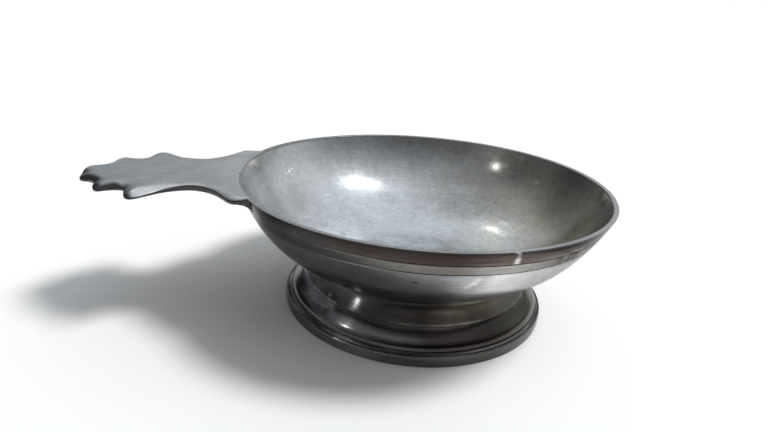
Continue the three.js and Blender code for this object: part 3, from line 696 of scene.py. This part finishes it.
def solder_grey(name, lo, hi):
    g = Graph(name)
    lump = g.noise(g.p, 0.6, 4, 0.6)
    fine = g.noise(g.p, 2.2, 3, 0.6)
    col = g.mix(g.remap(g.add((lump, 0.7), (fine, 0.3)), 0.38, 0.62, kind="LINEAR"), lo, hi)
    g.put(g.bsdf.inputs["Base Color"], col)
    g.put(g.bsdf.inputs["Roughness"], g.m("ADD", g.add((lump, 0.25), (fine, 0.1)), 0.25))
    g.bump(g.add((lump, 0.06), (fine, 0.015)))
    return g.mat


M_IN = pewter_inside()
M_LIP = pewter_lip()
M_OUT = pewter_outside()
M_EAR = pewter_ear()
M_COLLAR = pewter_collar()
M_BASE = pewter_base()
M_SOLDER = solder_grey("solder_dark", (0.055, 0.055, 0.057), (0.19, 0.19, 0.19))


# ---------------------------------------------------------------- the bowl's profile
_t = np.linspace(0, 1, 4001)[:, None]
_B = (1 - _t) ** 3 * BEZ[0] + 3 * (1 - _t) ** 2 * _t * BEZ[1] + 3 * (1 - _t) * _t ** 2 * BEZ[2] + _t ** 3 * BEZ[3]
_D = 3 * (1 - _t) ** 2 * (BEZ[1] - BEZ[0]) + 6 * (1 - _t) * _t * (BEZ[2] - BEZ[1]) + 3 * _t ** 2 * (BEZ[3] - BEZ[2])
_D /= np.linalg.norm(_D, axis=1)[:, None]
_N = np.stack([-_D[:, 1], _D[:, 0]], -1)                 # outward
_I = _B - _N * (2.1 + 0.3 * _t - 0.45 * smooth((_B[:, 1:] - 22) / 28))   # the inside, 2.1 to 2.4 mm in, thinner at the lip


def wall_r(z):
    """Outer radius of the bowl at a height."""
    return np.interp(z, _B[::-1, 1], _B[::-1, 0])


def under(r):
    """Height of the bowl's underside at a radius."""
    return np.interp(r, _B[::-1, 0], _B[::-1, 1])


def bowl_profile():
    s = np.concatenate([[0], np.cumsum(np.linalg.norm(np.diff(_B, axis=0), axis=1))])
    start = np.interp(H - 53.2, (H - _B[:, 1]), s)
    end = s[-1]
    groove = [np.interp(H - z0, H - _B[:, 1], s) for z0 in (48.3, 44.4)]
    marks = set(np.round(np.linspace(start, end, 92), 4))
    for g0 in groove:
        marks = {m for m in marks if abs(m - g0) > 0.55}
        marks |= {round(g0 + d, 4) for d in (-0.5, -0.36, -0.27, -0.18, -0.09, 0, 0.09, 0.18, 0.27, 0.36, 0.5)}
    marks = np.array(sorted(marks))
    tt = np.interp(marks, s, _t[:, 0])
    out = np.stack([np.interp(tt, _t[:, 0], _B[:, k]) for k in (0, 1)], -1)
    nn = np.stack([np.interp(tt, _t[:, 0], _N[:, k]) for k in (0, 1)], -1)
    depth = np.zeros(len(marks))
    for g0 in groove:
        d = np.abs(marks - g0)
        depth += np.where(d < 0.36, 0.30 * 0.5 * (1 + np.cos(math.pi * d / 0.36)), 0)
    cutin = nn * depth[:, None]
    out = (out - cutin)[::-1]                             # from the middle underneath up to the lip
    cutin = cutin[::-1]
    out = np.vstack([[(0, 14.7), (3.2, 14.7)], out])
    cutin = np.vstack([np.zeros((2, 2)), cutin])
    si = np.concatenate([[0], np.cumsum(np.linalg.norm(np.diff(_I, axis=0), axis=1))])
    top = np.interp(H - 52.9, H - _I[:, 1], si)
    m2 = np.linspace(top, si[-1], 78)
    ti = np.interp(m2, si, _t[:, 0])
    ins = np.stack([np.interp(ti, _t[:, 0], _I[:, k]) for k in (0, 1)], -1)
    corner_o = np.array([wall_r(H - 0.02) + 0.0, H])
    corner_i = np.array([np.interp(H, _I[::-1, 1], _I[::-1, 0]), H])
    lip = fillet([out[-1], corner_o, corner_i, ins[0]], [0, 0.30, 0.45, 0], steps=7, closed=False)[1:-1]
    flat0 = lip[7]
    flat1 = lip[8]
    mid = [flat0 + (flat1 - flat0) * k / 5 for k in range(1, 5)]
    lip = np.vstack([lip[:8], mid, lip[8:]])
    ins = np.vstack([ins, [(3.0, 17.1), (0, 17.1)]])
    prof = np.vstack([out, lip, ins])
    kind = [0] * (len(out) - 1) + [1] * (len(lip) + 1) + [2] * (len(ins) - 1)
    cutin = np.vstack([cutin, np.zeros((len(prof) - len(cutin), 2))])
    return prof, kind, cutin


BOWL_PROF, BOWL_KIND, BOWL_CUT = bowl_profile()
_w1 = waves(11, 7, 6)
_w2 = waves(12, 7, 9)


def bell(deg, at, wide):
    return np.exp(-(((deg - at + 180) % 360 - 180) / wide) ** 2)


def bowl_shape(az, r, z, i):
    # the two incised lines are worn shallow towards the ear
    worn = 0.95 * smooth((66 - np.abs(np.degrees(wrap(az - math.radians(-172))))) / 24)
    r = r + BOWL_CUT[i][0] * worn
    z = z + BOWL_CUT[i][1] * worn
    r = r - dent(az, z) + 0.035 * _w1(az + z * 0.03) * smooth((z - 16) / 20)
    deg = np.degrees(az)
    up = smooth((z - 40) / 13)
    r = r + up * 0.35 * bell(deg, -15, 38)
    z = z + up * (0.05 * _w2(az) + 0.36 * bell(deg, 18, 32) - 0.15 * bell(deg, 112, 25))
    return r, z


bowl = lathe("bowl_shell", BOWL_PROF, 384, [M_OUT, M_LIP, M_IN], BOWL_KIND, bowl_shape)
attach(bowl, "root")
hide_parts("bowl")


# ---------------------------------------------------------------- the ear
HALF = [(72.1, 31.95), (73.8, 30.65), (76.1, 27.15), (79.2, 22.85), (83.4, 19.1), (87.8, 17.5), (92.8, 18.05), (97.0, 19.9),
        (101.2, 23.5), (104.2, 26.3), (106.2, 27.1), (107.7, 26.05), (108.9, 22.5), (109.7, 19.1), (111.1, 17.45), (113.5, 17.1),
        (116.4, 17.8), (118.7, 18.6), (120.2, 17.35), (121.2, 14.3), (121.5, 11.4), (122.5, 9.75), (124.6, 7.85), (127.7, 6.5),
        (128.95, 3.7), (129.2, 0.0)]
LAP_R = 73.25


def ear_top(u, v):
    flat = H + EAR_UP - np.maximum(u - EAR_PIVOT, 0) * math.tan(EAR_DROOP)
    wavy = 0.05 * np.sin(u * 0.21 + 0.8) * np.cos(v * 0.16 + 0.3) + 0.03 * np.sin(u * 0.43 + v * 0.31)
    root = (EAR_UP - 0.14) * (1 - smooth((np.hypot(u, v) - LAP_R) / 8.0))    # it runs out thin over the lip
    return flat + wavy * smooth((u - 74) / 10) - root


def ear_outline():
    """Closed outline in (u, v): u is the distance from the bowl's axis towards the tip, v across."""
    half = [(66.5, 33.1), (67.5, 32.5), (68.8, 32.2), (70.4, 32.1)] + HALF
    far = catmull(half, 10)
    near = far[::-1][1:] * np.array([1, -1])
    free = np.vstack([far, near]) + np.array([0.0, EAR_SHIFT])
    a = np.linspace(-math.asin((32.5 - EAR_SHIFT) / LAP_R), math.asin((32.5 + EAR_SHIFT) / LAP_R), 90)
    rr = LAP_R - dent(math.pi + a, np.full_like(a, H))
    root = np.stack([rr * np.cos(a), rr * np.sin(a)], -1)
    return resample(np.vstack([free, root]), 0.42, closed=True)


def inside(pts, poly):
    x, y = pts[:, 0], pts[:, 1]
    hit = np.zeros(len(pts), bool)
    n = len(poly)
    for i in range(n):
        x0, y0 = poly[i]
        x1, y1 = poly[(i + 1) % n]
        if y0 == y1:
            continue
        c = ((y0 > y) != (y1 > y)) & (x < (x1 - x0) * (y - y0) / (y1 - y0) + x0)
        hit ^= c
    return hit


def make_ear():
    line = ear_outline()
    n = len(line)
    tan = np.roll(line, -2, 0) - np.roll(line, 2, 0)
    tan /= np.linalg.norm(tan, axis=1)[:, None]
    nor = np.stack([tan[:, 1], -tan[:, 0]], -1)
    area = 0.5 * np.sum(line[:, 0] * np.roll(line[:, 1], -1) - np.roll(line[:, 0], -1) * line[:, 1])
    if area < 0:
        nor = -nor
    u, v = line[:, 0], line[:, 1]
    rad = np.hypot(u, v)
    root = 1.0 * (rad < 73.6)
    free = line[root < 0.5]
    front = smooth((5.0 - v) / 7.0)                          # the near edge and the tip are worn to a roll, the far edge is not
    soft = front[root < 0.5]
    wear = np.interp(u, (66, 70, 73, 77, 82, 90, 96, 100, 104, 107, 109, 111, 114, 118, 121, 123, 126, 130),
                     (1.5, 3.0, 4.2, 3.2, 1.7, 1.5, 3.0, 5.0, 6.0, 5.5, 4.2, 3.8, 4.8, 5.0, 3.8, 3.6, 4.4, 4.8))   # width of the roll
    broad = wear[root < 0.5]
    for _ in range(5):
        root = 0.25 * np.roll(root, 1) + 0.5 * root + 0.25 * np.roll(root, -1)
    lean = np.radians(28) * (1 - root) * front               # slope of the worn roll where it meets the edge's corner
    rho = (0.40 + 0.08 * front) * (1 - root) + 0.10 * root
    x0 = rho * (1 - np.sin(lean))
    ring = np.array([(0.9 * c * math.cos(a), 0.9 * c * math.sin(a)) for c, m in ((0, 1), (0.55, 6), (1, 10)) for a in np.arange(m) * 2 * math.pi / m])

    def worn(pts):
        """How far the top is worn down near the free edges: a soft roll, widest on the lobes."""
        total = 0.0
        for off in ring:
            q = pts + off
            far = np.linalg.norm(q[:, None, :] - free[None, :, :], axis=2)
            near = np.argmin(far, axis=1)
            d = far[np.arange(len(q)), near] * np.where(inside(q, line), 1, -1)
            wide = broad[near]
            t = np.clip((wide - d) / (wide - 0.2), 0, 1.15)
            total = total + 0.26 * wide * t ** 2 * soft[near]
        return total / len(ring)

    h_bot = 0.42 * np.ones(n)
    d_bot = 0.55 * np.ones(n)
    rows = []

    def row(inset, z):
        rows.append(np.column_stack([line - nor * inset[:, None], z]))

    start = line - nor * x0[:, None]
    z_start = ear_top(*start.T) - worn(start)
    zc = z_start - rho * np.cos(lean)
    for k in range(8):
        tau = lean + (math.pi / 2 - lean) * k / 7
        row(rho * (1 - np.sin(tau)), zc + rho * np.cos(tau))
    t0 = ear_top(u, v)
    for k in (1, 2):
        z0 = zc
        z1 = t0 - EAR_T + h_bot
        row(np.zeros(n), z0 + (np.minimum(z1, z0 - 0.03) - z0) * k / 3)
    for k in range(6):
        th = math.pi / 2 * k / 5
        ins = d_bot * (1 - math.cos(th))
        row(ins, t0 - EAR_T + h_bot * (1 - math.sin(th)))
    verts = np.vstack(rows)
    faces = []
    for j in range(len(rows) - 1):
        for i in range(n):
            a, b = j * n + i, j * n + (i + 1) % n
            faces.append([a, b, b + n, a + n])
    allv = [tuple(p) for p in verts]
    step = 0.55
    gx = np.arange(60, 132, step)
    gy = np.arange(-34, 34.5, step)
    grid = np.array([(x + (0.5 * step if j % 2 else 0), y) for j, y in enumerate(gy) for x in gx])
    for which in (0, len(rows) - 1):
        edge = rows[which][:, :2]
        keep = inside(grid, edge)
        cand = grid[keep]
        dist = np.min(np.linalg.norm(cand[:, None, :] - edge[None, ::2, :], axis=2), axis=1)
        cand = cand[dist > 0.42]
        low = worn(cand) if which == 0 else None
        co = [Vector((float(p[0]), float(p[1]))) for p in np.vstack([edge, cand])]
        ov, oe, of, mv, me_, mf = delaunay_2d_cdt(co, [(i, (i + 1) % n) for i in range(n)], [], 1, 1e-7)
        ids = []
        for k, p in enumerate(ov):
            src = [q for q in mv[k] if q < n]
            if src:
                ids.append(which * n + src[0])
            else:
                z = float(ear_top(np.array(p[0]), np.array(p[1])))
                z -= EAR_T if which else float(low[mv[k][0] - n])
                ids.append(len(allv))
                allv.append((p[0], p[1], z))
        for f in of:
            g = [ids[q] for q in f]
            if len(set(g)) == len(g):
                faces.append(g)
    pts = np.array([(AX - p[0], p[1], p[2]) for p in allv])
    return to_object("ear_plate", pts, faces, [M_EAR])


ear = make_ear()
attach(ear, "root")
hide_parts("ear_handle")


# ---------------------------------------------------------------- the foot
def bowl_under(r):
    return float(under(r))


def collar_profile():
    lip = fillet([(44.5, 12.06), (46.74, 12.06), (46.92, 12.2), (46.66, 12.36)], [0, 0.06, 0.06, 0], 3, closed=False)
    outer = catmull([(46.66, 12.36), (45.95, 12.98), (45.2, 13.7), (44.3, 14.62), (43.45, 15.55), (42.78, 16.42), (42.32, 17.25), (42.14, 18.1), (42.3, 19.0), (42.9, bowl_under(42.9) - 0.2)], 6)
    top = np.array([(43.25, bowl_under(43.25) + 0.3), (39.95, bowl_under(39.95) + 0.3)])
    inner = catmull([(39.92, 18.5), (39.9, 17.6), (40.35, 16.3), (42.0, 14.45), (43.2, 13.25), (44.3, 12.25)], 6)
    return np.vstack([lip[:-1], outer, top, inner])


def base_profile():
    band = fillet([(49.95, 0.0), (54.3, 0.0), (54.3, 3.95), (53.62, 4.12), (53.46, 3.86), (53.26, 4.24), (52.44, 4.86), (52.22, 4.80), (52.34, 5.06)],
                  [0, 0.35, 0.50, 0.10, 0.04, 0.12, 0.12, 0.04, 0], 5, closed=False)[:-1]
    face = catmull([(52.34, 5.06), (52.33, 5.42), (52.2, 6.0), (51.98, 6.62), (51.62, 7.31), (51.12, 7.98), (50.44, 8.68), (49.46, 9.62), (48.46, 10.56), (47.54, 11.36), (47.06, 11.72)], 7)
    seat = fillet([(47.06, 11.72), (46.92, 11.84), (44.2, 11.84), (44.2, 11.0)], [0, 0.05, 0.15, 0], 3, closed=False)[1:-1]
    hollow = catmull([(44.2, 11.0), (45.4, 9.95), (47.0, 8.45), (48.5, 7.0), (49.4, 5.2), (49.78, 2.6), (49.92, 0.6)], 6)
    return np.vstack([band, face, seat, hollow])


_w3 = waves(21, 9, 14)
_w4 = waves(22, 9, 40)


def collar_shape(az, r, z, i):
    # a thin uneven burr along the lower edge, strongest at the front
    front = np.exp(-(wrap(az - math.radians(-91)) / math.radians(20)) ** 4)
    edge = np.exp(-((z - 12.2) / 0.17) ** 2) * (r > 46.0)
    r = r + edge * (0.04 * _w4(az) + 0.10 * front * (1 + 0.6 * _w3(az * 3)))
    z = z + edge * (0.05 * _w4(az + 0.7) + 0.08 * front)
    return r + 0.02 * _w3(az), z


def base_shape(az, r, z, i):
    return r + 0.03 * _w3(az + 1.1) * smooth((z - 0.2) / 2), z


collar = lathe("collar_ring", collar_profile(), 320, [M_COLLAR], None, collar_shape)
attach(collar, "root")
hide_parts("foot_collar")

base = lathe("base_ring", base_profile(), 320, [M_BASE], None, base_shape)
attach(base, "root")
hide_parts("foot_base")


# ---------------------------------------------------------------- solder seams
def seam_foot():
    c = np.array([46.62, 11.95])
    th = np.linspace(0, 2 * math.pi, 14, endpoint=False)
    prof = np.stack([c[0] + 0.32 * np.cos(th), c[1] + 0.13 * np.sin(th)], -1)
    wa, wb = waves(31, 12, 60), waves(32, 8, 12)

    def shape(az, r, z, i):
        k = 1 + 0.35 * wa(az) + 0.25 * wb(az)
        lump = np.maximum(wa(az) + wb(az + 1) - 1.15, 0) * 0.35
        out = np.maximum(r - c[0], 0)
        return c[0] + (r - c[0]) * k + lump * (out > 0), c[1] + (z - c[1]) * (1 + 0.2 * wb(az + 2))

    return lathe("foot_seam", prof, 420, [M_SOLDER], None, shape)


def seam_under():
    r0, r1 = 39.85, 37.0
    a = np.array([r0, 17.3])
    b = np.array([r1, bowl_under(r1) + 0.1])
    pts = []
    for k in range(9):
        t = k / 8
        q = (1 - t) ** 2 * a + 2 * t * (1 - t) * np.array([39.3, bowl_under(39.3) - 0.45]) + t ** 2 * b
        pts.append(q)
    pts = [np.array([40.5, 17.4])] + pts + [np.array([37.2, bowl_under(37.2) + 0.5]), np.array([40.5, bowl_under(40.5) + 0.4])]
    wa, wb = waves(41, 12, 40), waves(42, 8, 9)

    def shape(az, r, z, i):
        k = 0.22 * wa(az) + 0.18 * wb(az)
        push = 1.0 if 1 < i < 9 else 0.0
        return r - 0.25 * k * push, z - 0.2 * k * push

    return lathe("bowl_seam", pts, 320, [M_SOLDER], None, shape)


def seam_ear():
    """The fillet that joins the ear's root to the bowl, under the ear and round both its ends."""
    half = math.asin(32.2 / 74.5)
    a = np.linspace(-half, half, 150)
    wa, wb = waves(51, 10, 60), waves(52, 6, 24)
    rows = []
    for t in a:
        az = math.pi + t
        end = 1 - abs(t) / half
        cap = math.sqrt(max(0.0, 1 - (1 - min(1, end / 0.06)) ** 2)) if end < 0.06 else 1.0
        k = (1 + 0.12 * float(wa(np.array(az))) + 0.12 * float(wb(np.array(az)))) * (0.10 + 0.90 * cap)
        k *= 1 + 0.35 * math.exp(-((abs(t) - half * 0.93) / 0.03) ** 2)

        def wall(z):
            return float(wall_r(z)) - float(dent(np.array(az), np.array(z)))

        zt = H + EAR_UP - EAR_T + 0.05
        drop = 2.7 * k
        lo = zt - drop
        ring = [(wall(H - 0.5) - 0.5, H - 0.45), (wall(H - 0.5) + 0.75 * cap, H - 0.45 - 0.3 * (1 - cap)), (wall(zt) + 2.0 * k, zt + 0.25)]
        p0 = np.array([wall(zt) + 2.6 * k, zt - 0.02])
        p2 = np.array([wall(lo) + 0.02, lo])
        p1 = np.array([wall(zt - 0.8) + 0.35, zt - 0.75 * k])
        for q in range(9):
            s = q / 8
            ring.append(tuple((1 - s) ** 2 * p0 + 2 * s * (1 - s) * p1 + s ** 2 * p2))
        ring.append((wall(lo) - 0.5, lo + 0.1))
        rows.append([(AX + r * math.cos(az), r * math.sin(az), z) for r, z in ring])
    m = len(rows[0])
    verts = [p for r in rows for p in r]
    faces = []
    for j in range(len(rows) - 1):
        for i in range(m):
            faces.append([j * m + i, j * m + (i + 1) % m, (j + 1) * m + (i + 1) % m, (j + 1) * m + i])
    for j in (0, len(rows) - 1):
        c = len(verts)
        verts.append(tuple(np.mean(rows[j], axis=0)))
        for i in range(m):
            faces.append([j * m + i, j * m + (i + 1) % m, c])
    return to_object("ear_seam", verts, faces, [M_SOLDER])


for piece, node in ((seam_foot(), "collar_base_solder"), (seam_under(), "bowl_collar_solder"), (seam_ear(), "handle_solder")):
    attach(piece, "root")
    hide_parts(node)


# ---------------------------------------------------------------- floor, light, camera
def make_floor():
    bm = bmesh.new()
    seg = 96
    prof = [(0.0, 0.0), (0.4, 0.0), (0.8, 0.0), (1.2, 0.006), (1.6, 0.024), (2.0, 0.050), (3.0, 0.120), (6.0, 0.330), (14.0, 0.890), (30.0, 2.010)]
    rows = []
    for r, z in prof:
        if r == 0:
            rows.append([bm.verts.new((0, 0, z))] * seg)
        else:
            rows.append([bm.verts.new((r * math.cos(2 * math.pi * k / seg), r * math.sin(2 * math.pi * k / seg), z)) for k in range(seg)])
    for a, b in zip(rows, rows[1:]):
        for k in range(seg):
            q = [a[k], b[k], b[(k + 1) % seg], a[(k + 1) % seg]]
            g = []
            for v in q:
                if v not in g:
                    g.append(v)
            bm.faces.new(g)
    me = bpy.data.meshes.new("floor")
    bm.to_mesh(me)
    bm.free()
    for p in me.polygons:
        p.use_smooth = True
    o = bpy.data.objects.new("floor", me)
    bpy.context.scene.collection.objects.link(o)
    mat = bpy.data.materials.new("floor_pale")
    mat.use_nodes = True
    b = mat.node_tree.nodes["Principled BSDF"]
    b.inputs["Base Color"].default_value = (0.86, 0.86, 0.86, 1)
    b.inputs["Roughness"].default_value = 0.95
    b.inputs["Specular IOR Level"].default_value = 0.0
    me.materials.append(mat)


make_floor()


def direction(az, el):
    a, e = math.radians(az), math.radians(el)
    return Vector((math.cos(a) * math.cos(e), math.sin(a) * math.cos(e), math.sin(e)))


def make_world():
    w = bpy.data.worlds.new("studio")
    bpy.context.scene.world = w
    w.use_nodes = True
    nt = w.node_tree
    nt.nodes.clear()
    out = nt.nodes.new("ShaderNodeOutputWorld")
    bg = nt.nodes.new("ShaderNodeBackground")
    nt.links.new(bg.outputs[0], out.inputs[0])
    tc = nt.nodes.new("ShaderNodeTexCoord")
    no = nt.nodes.new("ShaderNodeVectorMath")
    no.operation = "NORMALIZE"
    nt.links.new(tc.outputs["Generated"], no.inputs[0])

    def lobe(az, el, power, colour):
        dp = nt.nodes.new("ShaderNodeVectorMath")
        dp.operation = "DOT_PRODUCT"
        nt.links.new(no.outputs[0], dp.inputs[0])
        dp.inputs[1].default_value = direction(az, el)
        mx = nt.nodes.new("ShaderNodeMath")
        mx.operation = "MAXIMUM"
        nt.links.new(dp.outputs["Value"], mx.inputs[0])
        mx.inputs[1].default_value = 0.0
        pw = nt.nodes.new("ShaderNodeMath")
        pw.operation = "POWER"
        nt.links.new(mx.outputs[0], pw.inputs[0])
        pw.inputs[1].default_value = power
        sc = nt.nodes.new("ShaderNodeVectorMath")
        sc.operation = "SCALE"
        sc.inputs[0].default_value = colour
        nt.links.new(pw.outputs[0], sc.inputs["Scale"])
        return sc.outputs["Vector"]

    total = None
    for az, el, power, bright in SOFT:
        q = lobe(az, el, power, (0.965 * bright, 1.0 * bright, 1.03 * bright))
        if total is None:
            total = q
        else:
            ad = nt.nodes.new("ShaderNodeVectorMath")
            ad.operation = "ADD"
            nt.links.new(total, ad.inputs[0])
            nt.links.new(q, ad.inputs[1])
            total = ad.outputs["Vector"]
    nt.links.new(total, bg.inputs[0])
    bg.inputs[1].default_value = 1.0


# soft patches of light: elevation, then azimuth and strength of each
RINGS = ((90, ((0, 0.48),)),
         (68, ((0, 0.77), (60, 0.56), (120, 0.24), (180, 0.37), (240, 0.37), (300, 0.53))),
         (50, ((10, 0.52), (42.7, 0.57), (75.5, 0.45), (108.2, 0.36), (140.9, 0.27), (173.6, 0.16), (206.4, 0.18), (239.1, 0.19), (271.8, 0.22), (304.5, 0.31), (337.3, 0.55))),
         (33, ((0, 0.46), (25.7, 0.42), (51.4, 0.36), (77.1, 0.60), (102.9, 0.28), (128.6, 0.09), (154.3, 0.09), (205.7, 0.09), (231.4, 0.03), (257.1, 0.03), (282.9, 0.04), (308.6, 0.12), (334.3, 0.16))),
         (18, ((8, 0.27), (30.5, 0.37), (53, 0.28), (75.5, 0.21), (98, 0.17), (120.5, 0.05), (165.5, 0.04), (188, 0.12), (210.5, 0.08), (233, 0.04), (323, 0.03), (345.5, 0.09))),
         (5, ((40, 0.14), (60, 0.04), (160, 0.04), (180, 0.05), (200, 0.06), (220, 0.06), (240, 0.04), (340, 0.06))))
SOFT = [(az, el, 30.0, bright) for el, ring in RINGS for az, bright in ring] + [(-9, 60, 110.0, 0.5), (-16, 68, 60.0, 0.3), (95, 48, 140.0, 0.28)]

make_world()


def sun(name, az, el, spread, power, gloss=True):
    d = bpy.data.lights.new(name, "SUN")
    d.angle = math.radians(spread)
    d.energy = power
    o = bpy.data.objects.new(name, d)
    bpy.context.scene.collection.objects.link(o)
    o.rotation_euler = direction(az, el).to_track_quat("Z", "Y").to_euler()
    o.visible_glossy = gloss


def beam(name, at, az, el, far, wide, size, power):
    """A narrow spot lamp that stands `far` metres off in a direction and lights a small place (mm)."""
    d = bpy.data.lights.new(name, "SPOT")
    d.energy = power
    d.spot_size = 2 * math.atan(wide * MM / far)
    d.spot_blend = 0.5
    d.shadow_soft_size = size
    d.use_shadow = False
    o = bpy.data.objects.new(name, d)
    bpy.context.scene.collection.objects.link(o)
    v = direction(az, el)
    o.location = Vector(at) * MM + v * far
    o.rotation_euler = v.to_track_quat("Z", "Y").to_euler()


sun("lamp_1", -9, 60, 8, 0.16)
sun("lamp_7", -15, 67, 6, 0.05)
beam("lamp_2", (-6.0, -33.0, 11.0), -168.5, 41, 1.2, 30.0, 0.010, 1.8)
sun("lamp_3", 94, 46.2, 1.0, 0.0085)
sun("lamp_5", -166.5, 38.5, 1.0, 0.018)
sun("lamp_6", 105, 49, 0.6, 0.003)
sun("lamp_4", 21, 22.5, 0.7, 0.0018)
sun("lamp_floor", -9, 60, 16, 2.2, gloss=False)


def make_camera():
    d = bpy.data.cameras.new("camera")
    d.sensor_fit = "HORIZONTAL"
    d.sensor_width = 36.0
    d.lens = 551.27 / 768 * 36.0
    d.dof.use_dof = False
    d.clip_start = 0.005
    d.clip_end = 100
    o = bpy.data.objects.new("camera", d)
    bpy.context.scene.collection.objects.link(o)
    e, yaw, roll = 0.2837 + 0.078, -0.067, 0.071
    fwd = Vector((math.sin(yaw) * math.cos(e), math.cos(yaw) * math.cos(e), -math.sin(e)))
    right = Vector((math.cos(yaw), -math.sin(yaw), 0))
    up = right.cross(fwd)
    r2 = math.cos(roll) * right + math.sin(roll) * up
    u2 = -math.sin(roll) * right + math.cos(roll) * up
    turn = Matrix.Rotation(math.radians(-13.9), 3, "Z")
    c = turn @ Vector((0, -216.515, 116.740)) + Vector((AX, 0, 0))
    m = Matrix((turn @ r2, turn @ u2, turn @ -fwd)).transposed().to_4x4()
    m.translation = c * MM
    o.matrix_world = m
    bpy.context.scene.camera = o


make_camera()
bpy.context.scene.view_settings.view_transform = "Standard"
bpy.context.scene.view_settings.look = "None"
bpy.context.scene.view_settings.exposure = 0.0

bpy.context.view_layer.update()
